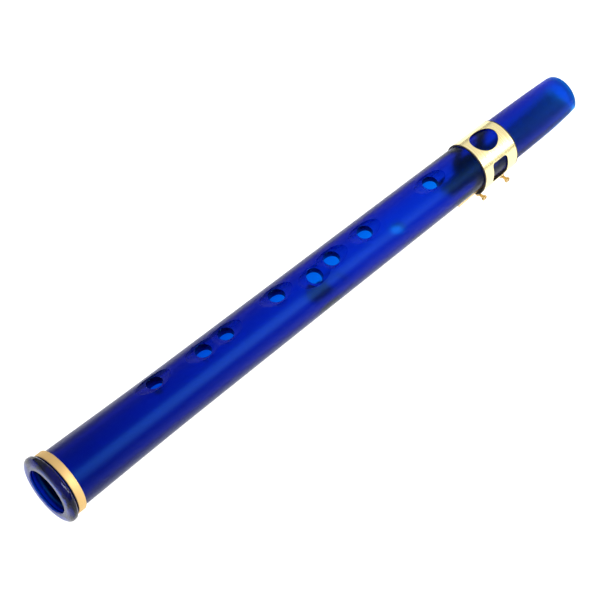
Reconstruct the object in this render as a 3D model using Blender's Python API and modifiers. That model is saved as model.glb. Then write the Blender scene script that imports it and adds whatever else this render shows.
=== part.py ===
"""Pocket saxophone: a single-reed wind instrument moulded in one tapered tube.

The tube lies along X, from the bell mouth at -X to the tip of the mouthpiece at +X, with its
finger holes facing +Z. It rests on the bell ring and on the four lugs of the ligature.
The bore flares at the bell mouth and tapers gently behind it. The reed's table cuts through to it.
Every piece is placed in the instrument's own frame, whose origin is the centre of the bell mouth.
"""
import math

import bmesh
import bpy
from mathutils import Vector

# Whole instrument, in metres
LENGTH = 0.313
AXIS_HEIGHT = 0.016
GAP = 0.0003
TURN_STEPS = 48

# Tube: stations along the axis from the bell mouth, and the outer radius at each
SHOULDER_X = 0.0088
BODY_OUTLINE = [
    (SHOULDER_X, 0.01375), (0.015, 0.01365), (0.022, 0.01350), (0.0375, 0.01312), (0.064, 0.01265),
    (0.107, 0.01225), (0.158, 0.01185), (0.230, 0.01135), (0.262, 0.01108), (0.288, 0.01075),
    (0.304, 0.01035), (LENGTH, 0.00980),
]
FACE_X = 0.3123
FACE_LEAN = 0.083
BORE_MOUTH_RADIUS = 0.01065
THROAT_X = 0.0160
THROAT_RADIUS = 0.0083
BORE_END_X = 0.3110
BORE_END_RADIUS = 0.0072

# Bell end: spigot, rounded ring and metal band
SPIGOT_RADIUS = 0.0124
SPIGOT_FRONT = 0.0012
SLEEVE_RADIUS = SPIGOT_RADIUS + GAP
RING_RADIUS = 0.0160
RING_BACK = 0.0040
RING_BACK_ROUND = (0.0014, 0.0016)
RING_FRONT_ROUND = (0.0020, 0.0032)
RING_EDGE = 0.0003
RING_LIP = 0.0009
BAND_RADIUS = 0.0148
BAND_FRONT = 0.0048
BAND_EDGE = 0.00025

# Finger holes: station, angle from the top towards -Y in degrees, and diameter
FINGER_HOLES = [
    (0.0628, -19.0, 0.0072), (0.0883, -8.0, 0.0073), (0.1011, -8.0, 0.0069), (0.1305, -7.0, 0.0073),
    (0.1498, 12.0, 0.0074), (0.1617, 3.0, 0.0073), (0.1824, 1.0, 0.0069), (0.2234, 2.5, 0.0069),
]
THUMB_HOLE = (0.2046, 186.0, 0.0066)
DISH_DEPTH = 0.0013
DISH_CURVE = 0.030
DISH_REACH = 0.0100
HOLE_DEPTH = 0.0065
CUTTER_TOP = 0.003

# Table that the reed lies on, and the lay that curves away from the reed's tip
TABLE_X = 0.238
TABLE_Z = -0.0108
TABLE_SLOPE = math.radians(6.9)
TABLE_RUN_IN = 0.010
LAY_START = 0.290
TIP_OPENING = 0.0016
CUT_REACH = 0.02

# Reed
REED_X = 0.2376
REED_LENGTH = 0.075
REED_THICKNESS = 0.0030
REED_TIP_THICKNESS = 0.00035
REED_CROWN = 0.22
REED_BUTT_WIDTH = 0.0134
REED_TIP_WIDTH = 0.0160
REED_TIP_ROUND = (0.0035, 0.0028)
REED_VAMP = 0.035
VAMP_POWER = 1.3

# Ligature
LIGATURE_X = (0.2485, 0.2703)
LIGATURE_RADIUS = (0.0114, 0.0112)
LIGATURE_DEPTH = (0.0130, 0.0106)
LIGATURE_SHEET = 0.0005
LIGATURE_SLIT = 0.0050
LIGATURE_TURN = math.radians(95)
WINDOW_X = 0.2589
TOP_WINDOW = (0.0139, 0.0124)
SIDE_WINDOW = (0.0094, 0.0114)
SIDE_WINDOW_CORNER = 0.0016
SIDE_WINDOW_Z = 0.0002

# Lugs and thumbscrews
LUG_STATIONS = {"bell": 0.2509, "tip": 0.2664}
LUG_Y = 0.0064
LUG_RADIUS = 0.0014
LUG_NECK = 0.00115
FLANGE_RADIUS = 0.0011
FLANGE_HEIGHT = 0.00025
FLANGE_EDGE = 0.00005
SCREW_Z = LUG_RADIUS - AXIS_HEIGHT
SCREW_RADIUS = 0.0006
LUG_CLEARANCE = {"screw_post": 0.0002, "thread_post": 0.0001}
SCREW_HEAD_RADIUS = 0.00135
SCREW_HEAD_Y = 0.0096
SCREW_HEAD_END = 0.0108
SCREW_END_Y = 0.0088
SCREW_EDGE = 0.0002
COLLAR_RADIUS = 0.0008
COLLAR_Y = LUG_Y + 0.0018
SLOT_WIDTH = 0.0005
SLOT_DEPTH = 0.0004

# Strap holder on the back
PLATE_X = (0.1502, 0.1618)
PLATE_WIDTH = 0.0120
PLATE_INNER = 0.01215
PLATE_OUTER = 0.01315
PLATE_CORNER = 0.0025
STRAP_PIVOT_X = 0.1560
STRAP_PIVOT_Z = -0.0140
STRAP_WIRE = 0.00075
STRAP_LUG_RADIUS = 0.0015
STRAP_LUG_WIDTH = 0.0044
STRAP_RING_LENGTH = 0.0142
STRAP_RING_HALF_WIDTH = 0.0050
STRAP_SCREWS = {"bell": 0.1524, "tip": 0.1596}
STRAP_SCREW_HEAD = 0.0014
STRAP_SCREW_DOME = 0.0007
STRAP_SCREW_SHANK = 0.0009
STRAP_RING_CORNER = 0.0022
PILOT_DEPTH = 0.0022


def clear_scene():
    for obj in list(bpy.data.objects):
        bpy.data.objects.remove(obj)


def make_collection(name):
    collection = bpy.data.collections.new(name)
    bpy.context.scene.collection.children.link(collection)
    return collection


clear_scene()
PARTS = make_collection("pocket_sax")
CUTTERS = make_collection("cutters")


def make_empty(name, location, parent=None):
    empty = bpy.data.objects.new(name, None)
    empty.location = location
    empty.parent = parent
    empty.empty_display_size = 0.01
    PARTS.objects.link(empty)
    return empty


INSTRUMENT = make_empty("instrument_frame", (-LENGTH / 2, 0, AXIS_HEIGHT))


def make_material(name, colour, roughness, metallic=0.0, transmission=0.0):
    material = bpy.data.materials.new(name)
    material.use_nodes = True
    shader = material.node_tree.nodes["Principled BSDF"]
    shader.inputs["Base Color"].default_value = (*colour, 1.0)
    shader.inputs["Roughness"].default_value = roughness
    shader.inputs["Metallic"].default_value = metallic
    shader.inputs["Transmission Weight"].default_value = transmission
    material.diffuse_color = (*colour, 1.0)
    return material


BLUE = make_material("translucent_blue", (0.0, 0.02, 0.55), 0.3, transmission=0.4)
NAVY = make_material("navy_gloss", (0.002, 0.004, 0.06), 0.08)
GOLD = make_material("satin_gold", (0.83, 0.62, 0.26), 0.3, metallic=1.0)
PALE_GOLD = make_material("pale_gold", (0.95, 0.82, 0.48), 0.18, metallic=1.0)
CANE = make_material("cane", (0.80, 0.62, 0.34), 0.55)
STEEL = make_material("nickel", (0.62, 0.62, 0.64), 0.25, metallic=1.0)


def link(name, data, material, location=(0, 0, 0), rotation=(0, 0, 0), parent=INSTRUMENT):
    """Make an object from mesh or curve data in the instrument's frame."""
    obj = bpy.data.objects.new(name, data)
    obj.location = location
    obj.rotation_euler = rotation
    obj.parent = parent
    if material is None:
        obj.display_type = "WIRE"
        obj.hide_render = True
        CUTTERS.objects.link(obj)
    else:
        data.materials.append(material)
        PARTS.objects.link(obj)
    return obj


def mesh_from(name, bm):
    mesh = bpy.data.meshes.new(name)
    bmesh.ops.recalc_face_normals(bm, faces=bm.faces)
    bm.to_mesh(mesh)
    bm.free()
    return mesh


ALONG_X = (0, math.pi / 2, 0)
ALONG_MINUS_Y = (math.pi / 2, 0, 0)


def turned(name, profile, material, steps=TURN_STEPS, **placing):
    """Turn a profile of (height, radius) points, from top to bottom, about the local Z axis."""
    mesh = bpy.data.meshes.new(name)
    points = [(radius, 0, height) for height, radius in profile]
    edges = [(i, i + 1) for i in range(len(points) - 1)]
    on_axis = profile[0][1] == 0
    if not on_axis:
        edges.append((len(points) - 1, 0))
    mesh.from_pydata(points, edges, [])
    obj = link(name, mesh, material, **placing)
    screw = obj.modifiers.new("turn", "SCREW")
    screw.steps = steps
    screw.render_steps = steps
    screw.use_merge_vertices = True
    screw.merge_threshold = 0.00001
    screw.use_smooth_shade = True
    return obj


def prism(name, outline, half_width, material=None):
    """Extrude an outline of (x, z) points by half_width to each side of the XZ plane."""
    bm = bmesh.new()
    face = bm.faces.new([bm.verts.new((x, -half_width, z)) for x, z in outline])
    grown = bmesh.ops.extrude_face_region(bm, geom=[face])["geom"]
    moved = [item for item in grown if isinstance(item, bmesh.types.BMVert)]
    bmesh.ops.translate(bm, verts=moved, vec=(0, 2 * half_width, 0))
    return link(name, mesh_from(name, bm), material)


def cylinder(name, radius, height, steps=32, oval=1.0, material=None, **placing):
    bm = bmesh.new()
    bmesh.ops.create_cone(bm, cap_ends=True, segments=steps, radius1=radius, radius2=radius, depth=height)
    bmesh.ops.scale(bm, verts=bm.verts, vec=(1, oval, 1))
    return link(name, mesh_from(name, bm), material, **placing)


def rounded_box(name, size, radius, axis, material=None, **placing):
    """A box whose four edges parallel to the given axis are rounded."""
    bm = bmesh.new()
    bmesh.ops.create_cube(bm, size=1.0)
    bmesh.ops.scale(bm, verts=bm.verts, vec=size)
    edges = [e for e in bm.edges if abs((e.verts[1].co - e.verts[0].co)[axis]) > size[axis] * 0.5]
    bmesh.ops.bevel(bm, geom=edges, offset=radius, segments=5, profile=0.5, affect="EDGES")
    return link(name, mesh_from(name, bm), material, **placing)


def combine(target, cutter, operation="DIFFERENCE"):
    modifier = target.modifiers.new(cutter.name, "BOOLEAN")
    modifier.operation = operation
    modifier.solver = "EXACT"
    modifier.object = cutter


def body_radius(x):
    """Outer radius of the tube at a station, between the points of its outline."""
    for (x0, r0), (x1, r1) in zip(BODY_OUTLINE, BODY_OUTLINE[1:]):
        if x <= x1:
            return r0 + (r1 - r0) * (x - x0) / (x1 - x0)
    return BODY_OUTLINE[-1][1]


def table_z(x):
    return TABLE_Z + (x - TABLE_X) * math.tan(TABLE_SLOPE)


def body_profile():
    """Half section of the tube before any hole is cut, from the tip back into the bore."""
    points = [(LENGTH, 0.0)]
    points.extend(reversed(BODY_OUTLINE))
    points.append((SHOULDER_X, SPIGOT_RADIUS))
    points.append((SPIGOT_FRONT, SPIGOT_RADIUS))
    points.append((SPIGOT_FRONT, BORE_MOUTH_RADIUS))
    points.append((THROAT_X, THROAT_RADIUS))
    points.append((BORE_END_X, BORE_END_RADIUS))
    points.append((BORE_END_X, 0.0))
    return points


def around_tube(x, degrees):
    """Location and rotation that stand a local Z axis on the tube's surface at an angle from the top."""
    angle = math.radians(degrees)
    outward = Vector((0, -math.sin(angle), math.cos(angle)))
    return Vector((x, 0, 0)) + outward * body_radius(x), (angle, 0, 0)


def hole_cutter(name, x, degrees, diameter):
    """Drill with a shallow spherical head: it leaves a hole inside an oval finger dish."""
    radius = diameter / 2
    profile = [(CUTTER_TOP, 0.0), (CUTTER_TOP, DISH_REACH)]
    rings = 4
    for i in range(rings + 1):
        reach = DISH_REACH + (radius - DISH_REACH) * i / rings
        profile.append((reach ** 2 / (2 * DISH_CURVE) - DISH_DEPTH, reach))
    profile.append((-HOLE_DEPTH, radius))
    profile.append((-HOLE_DEPTH, 0.0))
    location, rotation = around_tube(x, degrees)
    return turned(name, profile, None, steps=28, location=location, rotation=rotation)


def face_cutter():
    """Everything past the end face, which leans a little towards the top."""
    lean = FACE_LEAN * CUT_REACH
    far_x = LENGTH + CUT_REACH
    outline = [
        (FACE_X - lean, -CUT_REACH), (far_x, -CUT_REACH), (far_x, CUT_REACH), (FACE_X + lean, CUT_REACH),
    ]
    return prism("face_cutter", outline, CUT_REACH)


def table_cutter():
    """Everything under the reed table, and under the lay that curves away from the reed's tip."""
    start_x = TABLE_X - TABLE_RUN_IN
    outline = [(start_x, table_z(start_x))]
    steps = 6
    for i in range(steps + 2):
        part = i / steps
        x = LAY_START + (LENGTH - LAY_START) * part
        outline.append((x, table_z(x) + TIP_OPENING * part ** 2))
    outline.append((outline[-1][0], -CUT_REACH))
    outline.append((start_x, -CUT_REACH))
    return prism("table_cutter", outline, CUT_REACH)


def make_body():
    body = turned("body", body_profile(), BLUE, rotation=ALONG_X)
    for cutter in (face_cutter(), table_cutter()):
        combine(body, cutter)
    for number, (x, degrees, diameter) in enumerate(FINGER_HOLES, start=1):
        combine(body, hole_cutter(f"finger_hole_{number}", x, degrees, diameter))
    combine(body, hole_cutter("thumb_hole", *THUMB_HOLE))
    for end, x in STRAP_SCREWS.items():
        location = (x, 0, -body_radius(x))
        radius = STRAP_SCREW_SHANK + GAP
        combine(body, cylinder(f"pilot_{end}", radius, 2 * PILOT_DEPTH, steps=16, location=location))
    return body


def make_bell_ring():
    """Rounded rim with a flat front, bored to sit over the spigot."""
    back_depth, back_height = RING_BACK_ROUND
    back_radius = RING_RADIUS - back_height
    profile = [(RING_BACK, SLEEVE_RADIUS), (RING_BACK, back_radius)]
    back_steps = 4
    for i in range(1, back_steps + 1):
        angle = math.pi / 2 * i / back_steps
        x = RING_BACK - back_depth * (1 - math.cos(angle))
        profile.append((x, back_radius + back_height * math.sin(angle)))
    front_depth, front_height = RING_FRONT_ROUND
    front_radius = RING_RADIUS - front_height
    front_steps = 6
    for i in range(front_steps + 1):
        angle = math.pi / 2 * i / front_steps
        profile.append((front_depth * (1 - math.sin(angle)), front_radius + front_height * math.cos(angle)))
    profile.append((0.0, BORE_MOUTH_RADIUS + RING_EDGE))
    profile.append((RING_EDGE, BORE_MOUTH_RADIUS))
    profile.append((RING_LIP, BORE_MOUTH_RADIUS))
    profile.append((RING_LIP, SLEEVE_RADIUS))
    return turned("bell_ring", profile, NAVY, rotation=ALONG_X)


def make_bell_band():
    back = SHOULDER_X - GAP
    profile = [
        (back, SLEEVE_RADIUS), (back, BAND_RADIUS - BAND_EDGE), (back - BAND_EDGE, BAND_RADIUS),
        (BAND_FRONT + BAND_EDGE, BAND_RADIUS), (BAND_FRONT, BAND_RADIUS - BAND_EDGE),
        (BAND_FRONT, SLEEVE_RADIUS),
    ]
    return turned("bell_band", profile, GOLD, rotation=ALONG_X)


def loft(name, sections, material, **placing):
    """Skin a row of closed sections that have the same number of points, and cap both ends."""
    bm = bmesh.new()
    rings = [[bm.verts.new(point) for point in section] for section in sections]
    count = len(rings[0])
    for ring, following in zip(rings, rings[1:]):
        for i in range(count):
            j = (i + 1) % count
            bm.faces.new((ring[i], ring[j], following[j], following[i]))
    bm.faces.new(rings[0])
    bm.faces.new(list(reversed(rings[-1])))
    return link(name, mesh_from(name, bm), material, **placing)


def reed_half_width(x):
    """Half width of the reed, with the corners of its tip rounded off."""
    taper = REED_BUTT_WIDTH + (REED_TIP_WIDTH - REED_BUTT_WIDTH) * x / REED_LENGTH
    length, width = REED_TIP_ROUND
    from_tip = min(REED_LENGTH - x, length) / length
    return taper / 2 - width * (1 - math.sqrt(1 - (1 - from_tip) ** 2))


def reed_section(x):
    """Flat on top, bark rounded below, thinning along the vamp towards the tip."""
    from_tip = min((REED_LENGTH - x) / REED_VAMP, 1.0)
    thickness = REED_TIP_THICKNESS + (REED_THICKNESS - REED_TIP_THICKNESS) * from_tip ** VAMP_POWER
    half = reed_half_width(x)
    section = [(x, -half, 0), (x, half, 0)]
    arcs = 8
    for i in range(arcs + 1):
        side = 1 - 2 * i / arcs
        section.append((x, half * side, -thickness * (1 - REED_CROWN * side ** 2)))
    return section


def make_reed():
    vamp_steps, tip_steps = 8, 5
    stations = [0.0, REED_LENGTH - REED_VAMP]
    stations += [REED_LENGTH - REED_VAMP * (1 - i / vamp_steps) for i in range(1, vamp_steps)]
    stations += [REED_LENGTH - REED_TIP_ROUND[0] * (1 - i / tip_steps) ** 2 for i in range(1, tip_steps + 1)]
    sections = [reed_section(x) for x in stations]
    location = (REED_X, 0, table_z(REED_X) - GAP)
    return loft("reed", sections, CANE, location=location, rotation=(0, -TABLE_SLOPE, 0))


def ligature_half_section(radius, depth):
    """Points of the band's inner face from the top to its lower end, as (y, z)."""
    arc_steps = 16
    points = []
    for i in range(arc_steps + 1):
        angle = LIGATURE_TURN * i / arc_steps
        points.append((radius * math.sin(angle), radius * math.cos(angle)))
    start_y, start_z = points[-1]
    sweep_steps = 9
    for i in range(1, sweep_steps + 1):
        angle = math.pi / 2 * i / sweep_steps
        y = LIGATURE_SLIT + (start_y - LIGATURE_SLIT) * math.cos(angle)
        points.append((y, start_z - (depth + start_z) * math.sin(angle)))
    return points


def make_ligature_band(parent):
    """Sprung sheet-metal sleeve, open along the reed, with three windows."""
    bm = bmesh.new()
    rows = []
    for x, radius, depth in zip(LIGATURE_X, LIGATURE_RADIUS, LIGATURE_DEPTH):
        half = ligature_half_section(radius, depth)
        outline = [(-y, z) for y, z in reversed(half)] + half[1:]
        rows.append([bm.verts.new((x - parent.location.x, y, z)) for y, z in outline])
    near, far = rows
    for i in range(len(near) - 1):
        bm.faces.new((near[i], near[i + 1], far[i + 1], far[i]))
    mesh = bpy.data.meshes.new("ligature_band")
    bm.to_mesh(mesh)
    bm.free()
    band = link("ligature_band", mesh, PALE_GOLD, parent=parent)
    shell = band.modifiers.new("sheet", "SOLIDIFY")
    shell.thickness = LIGATURE_SHEET
    shell.offset = -1
    shell.use_even_offset = True
    width, breadth = TOP_WINDOW
    location = (WINDOW_X, 0, LIGATURE_RADIUS[0])
    oval = breadth / width
    combine(band, cylinder("top_window", width / 2, breadth, steps=40, oval=oval, location=location))
    size = (SIDE_WINDOW[0], 4 * LIGATURE_RADIUS[0], SIDE_WINDOW[1])
    location = (WINDOW_X, 0, SIDE_WINDOW_Z)
    combine(band, rounded_box("side_windows", size, SIDE_WINDOW_CORNER, 1, location=location))
    return band


def band_bottom(x, y):
    """Height of the band's outer face above a lug."""
    along = (x - LIGATURE_X[0]) / (LIGATURE_X[1] - LIGATURE_X[0])
    radius = LIGATURE_RADIUS[0] + along * (LIGATURE_RADIUS[1] - LIGATURE_RADIUS[0])
    depth = LIGATURE_DEPTH[0] + along * (LIGATURE_DEPTH[1] - LIGATURE_DEPTH[0])
    start_z = radius * math.cos(LIGATURE_TURN)
    start_y = radius * math.sin(LIGATURE_TURN)
    cosine = (y - LIGATURE_SLIT) / (start_y - LIGATURE_SLIT)
    return start_z - (depth + start_z) * math.sqrt(1 - cosine ** 2) - LIGATURE_SHEET


def make_lug(name, x, y, hole_radius, parent):
    """Ball on a short foot, brazed under the band and bored across for the screw."""
    foot = band_bottom(x, abs(y)) - SCREW_Z - GAP
    flange = foot - FLANGE_HEIGHT
    neck = min(flange - FLANGE_EDGE, LUG_NECK)
    neck_radius = math.sqrt(LUG_RADIUS ** 2 - neck ** 2)
    profile = [
        (foot, 0.0), (foot, FLANGE_RADIUS), (flange, FLANGE_RADIUS), (flange - FLANGE_EDGE, neck_radius),
    ]
    steps = 6
    start = math.acos(neck / LUG_RADIUS)
    for i in range(1, steps):
        angle = start + (math.pi - start) * i / steps
        profile.append((LUG_RADIUS * math.cos(angle), LUG_RADIUS * math.sin(angle)))
    profile.append((-LUG_RADIUS, 0.0))
    location = (x - parent.location.x, y - parent.location.y, SCREW_Z - parent.location.z)
    lug = turned(name, profile, PALE_GOLD, steps=16, location=location, parent=parent)
    bore_length = 4 * LUG_RADIUS
    bore = cylinder(
        f"{name}_bore", hole_radius, bore_length, steps=16, location=(x, y, SCREW_Z), rotation=ALONG_MINUS_Y,
    )
    combine(lug, bore)
    return lug


def make_thumbscrew(name, x, parent):
    """Slender shank with a small slotted disc head on the -Y side."""
    profile = [
        (SCREW_HEAD_END, 0.0), (SCREW_HEAD_END, SCREW_HEAD_RADIUS - SCREW_EDGE),
        (SCREW_HEAD_END - SCREW_EDGE, SCREW_HEAD_RADIUS), (SCREW_HEAD_Y + SCREW_EDGE, SCREW_HEAD_RADIUS),
        (SCREW_HEAD_Y, SCREW_HEAD_RADIUS - SCREW_EDGE), (SCREW_HEAD_Y, COLLAR_RADIUS),
        (COLLAR_Y, COLLAR_RADIUS), (COLLAR_Y, SCREW_RADIUS), (3 * SCREW_EDGE - SCREW_END_Y, SCREW_RADIUS),
        (-SCREW_END_Y, SCREW_RADIUS - SCREW_EDGE), (-SCREW_END_Y, 0.0),
    ]
    screw = turned(
        name, profile, PALE_GOLD, steps=20,
        location=(x - parent.location.x, 0, SCREW_Z), rotation=ALONG_MINUS_Y, parent=parent,
    )
    size = (SLOT_WIDTH, 2 * SLOT_DEPTH, 4 * SCREW_HEAD_RADIUS)
    slot = rounded_box(f"{name}_slot", size, SLOT_WIDTH / 5, 2, location=(x, -SCREW_HEAD_END, SCREW_Z))
    combine(screw, slot)
    return screw


def make_ligature():
    """The ligature's pieces hang from one empty, which slides along the tube."""
    slide = make_empty("ligature_slide", (LIGATURE_X[0], 0, 0), parent=INSTRUMENT)
    make_ligature_band(slide)
    for end, x in LUG_STATIONS.items():
        for kind, y in (("screw_post", -LUG_Y), ("thread_post", LUG_Y)):
            make_lug(f"{kind}_{end}", x, y, SCREW_RADIUS + LUG_CLEARANCE[kind], slide)
        make_thumbscrew(f"ligature_screw_{end}", x, slide)


def make_strap_plate():
    """Curved foot with a lug across its middle that carries the ring."""
    length = PLATE_X[1] - PLATE_X[0]
    middle = (sum(PLATE_X) / 2, 0, -PLATE_OUTER)
    size = (length, PLATE_WIDTH, PLATE_WIDTH / 2)
    plate = rounded_box("strap_plate", size, PLATE_CORNER, 2, STEEL, location=middle)
    across = {"location": (STRAP_PIVOT_X, 0, STRAP_PIVOT_Z), "rotation": ALONG_MINUS_Y}
    along = {"location": (STRAP_PIVOT_X, 0, 0), "rotation": ALONG_X}
    combine(plate, cylinder("plate_outside", PLATE_OUTER, 3 * length, steps=72, **along), "INTERSECT")
    combine(plate, cylinder("strap_lug", STRAP_LUG_RADIUS, STRAP_LUG_WIDTH, steps=24, **across), "UNION")
    bore_radius = STRAP_WIRE + GAP
    combine(plate, cylinder("strap_lug_bore", bore_radius, 2 * PLATE_WIDTH, steps=20, **across))
    combine(plate, cylinder("plate_inside", PLATE_INNER, 4 * length, steps=72, **along))
    for end, x in STRAP_SCREWS.items():
        radius = STRAP_SCREW_SHANK + GAP
        hole_at = (x, 0, -PLATE_OUTER)
        combine(plate, cylinder(f"plate_hole_{end}", radius, PLATE_WIDTH / 2, steps=16, location=hole_at))
    return plate


def make_strap_screw(name, x):
    """Low domed head outside the plate, and a shank that ends inside the wall."""
    head_base = PLATE_OUTER + GAP
    shank_end = body_radius(x) - PILOT_DEPTH + GAP
    profile = [
        (-shank_end, 0.0), (-shank_end, STRAP_SCREW_SHANK), (-head_base, STRAP_SCREW_SHANK),
        (-head_base, STRAP_SCREW_HEAD),
    ]
    steps = 4
    for i in range(1, steps):
        angle = math.pi / 2 * i / steps
        profile.append((-head_base - STRAP_SCREW_DOME * math.sin(angle), STRAP_SCREW_HEAD * math.cos(angle)))
    profile.append((-head_base - STRAP_SCREW_DOME, 0.0))
    return turned(name, profile, STEEL, steps=16, location=(x, 0, 0))


def make_strap_ring():
    """Closed wire loop that passes through the lug and lies flat towards the tip."""
    corner = STRAP_RING_CORNER
    far_x = STRAP_RING_LENGTH - corner
    side = STRAP_RING_HALF_WIDTH - corner
    points = []
    steps = 5
    for x, y, start in ((far_x, side, 0), (corner, side, 90), (corner, -side, 180), (far_x, -side, 270)):
        for i in range(steps + 1):
            angle = math.radians(start + 90 * i / steps)
            points.append((x + corner * math.cos(angle), y + corner * math.sin(angle)))
    curve = bpy.data.curves.new("strap_ring", "CURVE")
    curve.dimensions = "3D"
    curve.bevel_depth = STRAP_WIRE
    curve.bevel_resolution = 2
    spline = curve.splines.new("POLY")
    spline.points.add(len(points) - 1)
    for point, (x, y) in zip(spline.points, points):
        point.co = (x, y, 0, 1)
    spline.use_cyclic_u = True
    return link("strap_ring", curve, STEEL, location=(STRAP_PIVOT_X, 0, STRAP_PIVOT_Z))


def make_strap_holder():
    make_strap_plate()
    for end, x in STRAP_SCREWS.items():
        make_strap_screw(f"strap_screw_{end}", x)
    make_strap_ring()


make_body()
make_bell_ring()
make_bell_band()
make_reed()
make_ligature()
make_strap_holder()
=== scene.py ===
"""Looks of the pocket saxophone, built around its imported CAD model.

Fine meshes stand for the faceted CAD nodes. They are made in the instrument's own frame, whose
origin is the centre of the bell mouth and whose X axis runs along the tube to the tip of the mouthpiece.
"""
import math

import bmesh
import bpy
import numpy as np
from mathutils import Matrix, Vector


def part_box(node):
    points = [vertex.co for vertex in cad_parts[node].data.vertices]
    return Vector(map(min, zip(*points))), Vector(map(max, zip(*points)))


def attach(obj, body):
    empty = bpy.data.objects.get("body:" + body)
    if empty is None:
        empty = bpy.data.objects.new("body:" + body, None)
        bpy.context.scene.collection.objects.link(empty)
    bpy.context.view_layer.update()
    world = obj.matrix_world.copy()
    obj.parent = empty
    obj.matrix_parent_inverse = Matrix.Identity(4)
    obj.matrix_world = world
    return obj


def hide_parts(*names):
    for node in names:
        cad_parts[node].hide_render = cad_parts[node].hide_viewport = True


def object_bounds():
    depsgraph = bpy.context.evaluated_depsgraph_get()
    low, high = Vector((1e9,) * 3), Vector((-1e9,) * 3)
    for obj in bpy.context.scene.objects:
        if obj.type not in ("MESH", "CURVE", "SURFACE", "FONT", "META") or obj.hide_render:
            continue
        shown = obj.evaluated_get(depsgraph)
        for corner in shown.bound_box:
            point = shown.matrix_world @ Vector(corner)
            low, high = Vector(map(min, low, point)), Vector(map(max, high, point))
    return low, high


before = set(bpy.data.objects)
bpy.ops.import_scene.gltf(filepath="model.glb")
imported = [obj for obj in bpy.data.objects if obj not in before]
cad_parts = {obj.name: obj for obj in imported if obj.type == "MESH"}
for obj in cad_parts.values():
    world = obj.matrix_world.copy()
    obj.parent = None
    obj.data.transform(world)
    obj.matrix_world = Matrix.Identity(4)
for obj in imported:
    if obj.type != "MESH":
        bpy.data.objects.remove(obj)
CAD_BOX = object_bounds()

RING_LOW, RING_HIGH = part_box("bell_ring")
ORIGIN = Vector((RING_LOW.x, 0.0, (RING_LOW.z + RING_HIGH.z) / 2))
TO_ROW = Matrix.Translation(ORIGIN)
FLOOR_Z = CAD_BOX[0].z

# Tube, in metres from the bell mouth
LENGTH = 0.313
SHOULDER_X = 0.0088
BODY_OUTLINE = [
    (SHOULDER_X, 0.01375), (0.015, 0.01365), (0.022, 0.01350), (0.0375, 0.01312), (0.064, 0.01265),
    (0.107, 0.01225), (0.158, 0.01185), (0.230, 0.01135), (0.262, 0.01108), (0.288, 0.01075),
    (0.304, 0.01035), (LENGTH, 0.00980),
]
FACE_X = 0.3123
FACE_LEAN = 0.083
FACE_EDGE = 0.0007
BORE_MOUTH_RADIUS = 0.01065
THROAT_X = 0.0160
THROAT_RADIUS = 0.0083
BORE_END_X = 0.3110
BORE_END_RADIUS = 0.0072
BORE_END_ROUND = 0.0015
LEAN_REACH = 0.010
TAPER_BLEND = 0.008
SHOULDER_EDGE = 0.0002
WALL_STEP = 0.0016
SPIGOT_RADIUS = 0.0124
SPIGOT_FRONT = 0.0012

# Bell ring and band. A round is its reach along the tube and its height.
RING_BACK = 0.0040
RING_RADIUS = 0.0160
RING_BACK_ROUND = (0.0014, 0.0016)
RING_FRONT_ROUND = (0.0020, 0.0032)
RING_MOUTH_ROUND = 0.0005
BAND_RADIUS = 0.0148
BAND_FRONT = 0.0048
BAND_EDGE = 0.0003
SLEEVE_GAP = 0.00005

# Finger holes: station, angle from the top towards -Y in degrees, and diameter
HOLES = {
    "finger_8": (0.0628, -19.0, 0.0072), "finger_7": (0.0883, -8.0, 0.0073),
    "finger_6": (0.1011, -8.0, 0.0069), "finger_5": (0.1305, -7.0, 0.0073),
    "finger_4": (0.1498, 12.0, 0.0074), "finger_3": (0.1617, 3.0, 0.0073),
    "finger_2": (0.1824, 1.0, 0.0069), "finger_1": (0.2234, 2.5, 0.0069),
    "thumb": (0.2046, 186.0, 0.0066),
}
DISH_DEPTH = 0.0013
DISH_CURVE = 0.030
DISH_REACH = 0.0100
# Level of the dishes in the mask that sets both the polish and the painted shade of the holes
DISH_POLISH_AND_SHADE = 0.5
HOLE_DEPTH = 0.0065
HOLE_LIP = 0.00035
DRILL_TOP = 0.003
WALL_FACING = 0.6

# Table that the reed lies on, and the lay that curves away from the reed's tip
TABLE_X = 0.238
TABLE_Z = -0.0108
TABLE_SLOPE = math.radians(6.9)
TABLE_RUN_IN = 0.010
LAY_START = 0.290
LAY_STEPS = 24
TIP_OPENING = 0.0016
CUT_REACH = 0.02

# Reed
REED_X = 0.2376
REED_GAP = 0.0003
REED_LENGTH = 0.075
REED_THICKNESS = 0.0030
REED_TIP_THICKNESS = 0.00035
REED_BUTT_WIDTH = 0.0134
REED_TIP_WIDTH = 0.0160
REED_TIP_ROUND = (0.0035, 0.0028)
REED_CROWN = 0.22
REED_VAMP = 0.035
VAMP_POWER = 1.3
VAMP_BLEND = 0.001
REED_EDGE = 0.00012

# Ligature
LIGATURE_X = (0.2485, 0.2703)
LIGATURE_RADIUS = (0.0114, 0.0112)
LIGATURE_DEPTH = (0.0130, 0.0106)
LIGATURE_SHEET = 0.0005
# Width of the strip of painted shade along each end of the band
LIGATURE_SHADE_STRIP = 0.0006
LIGATURE_SLIT = 0.0050
LIGATURE_TURN = math.radians(95)
WINDOW_X = 0.2589
TOP_WINDOW = (0.0139, 0.0124)
SIDE_WINDOW = (0.0094, 0.0114)
SIDE_WINDOW_Z = 0.0002
SIDE_WINDOW_CORNER = 0.0016
WINDOW_CUT = (0.010, 0.04)
SHEET_EDGE = 0.0002

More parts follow.
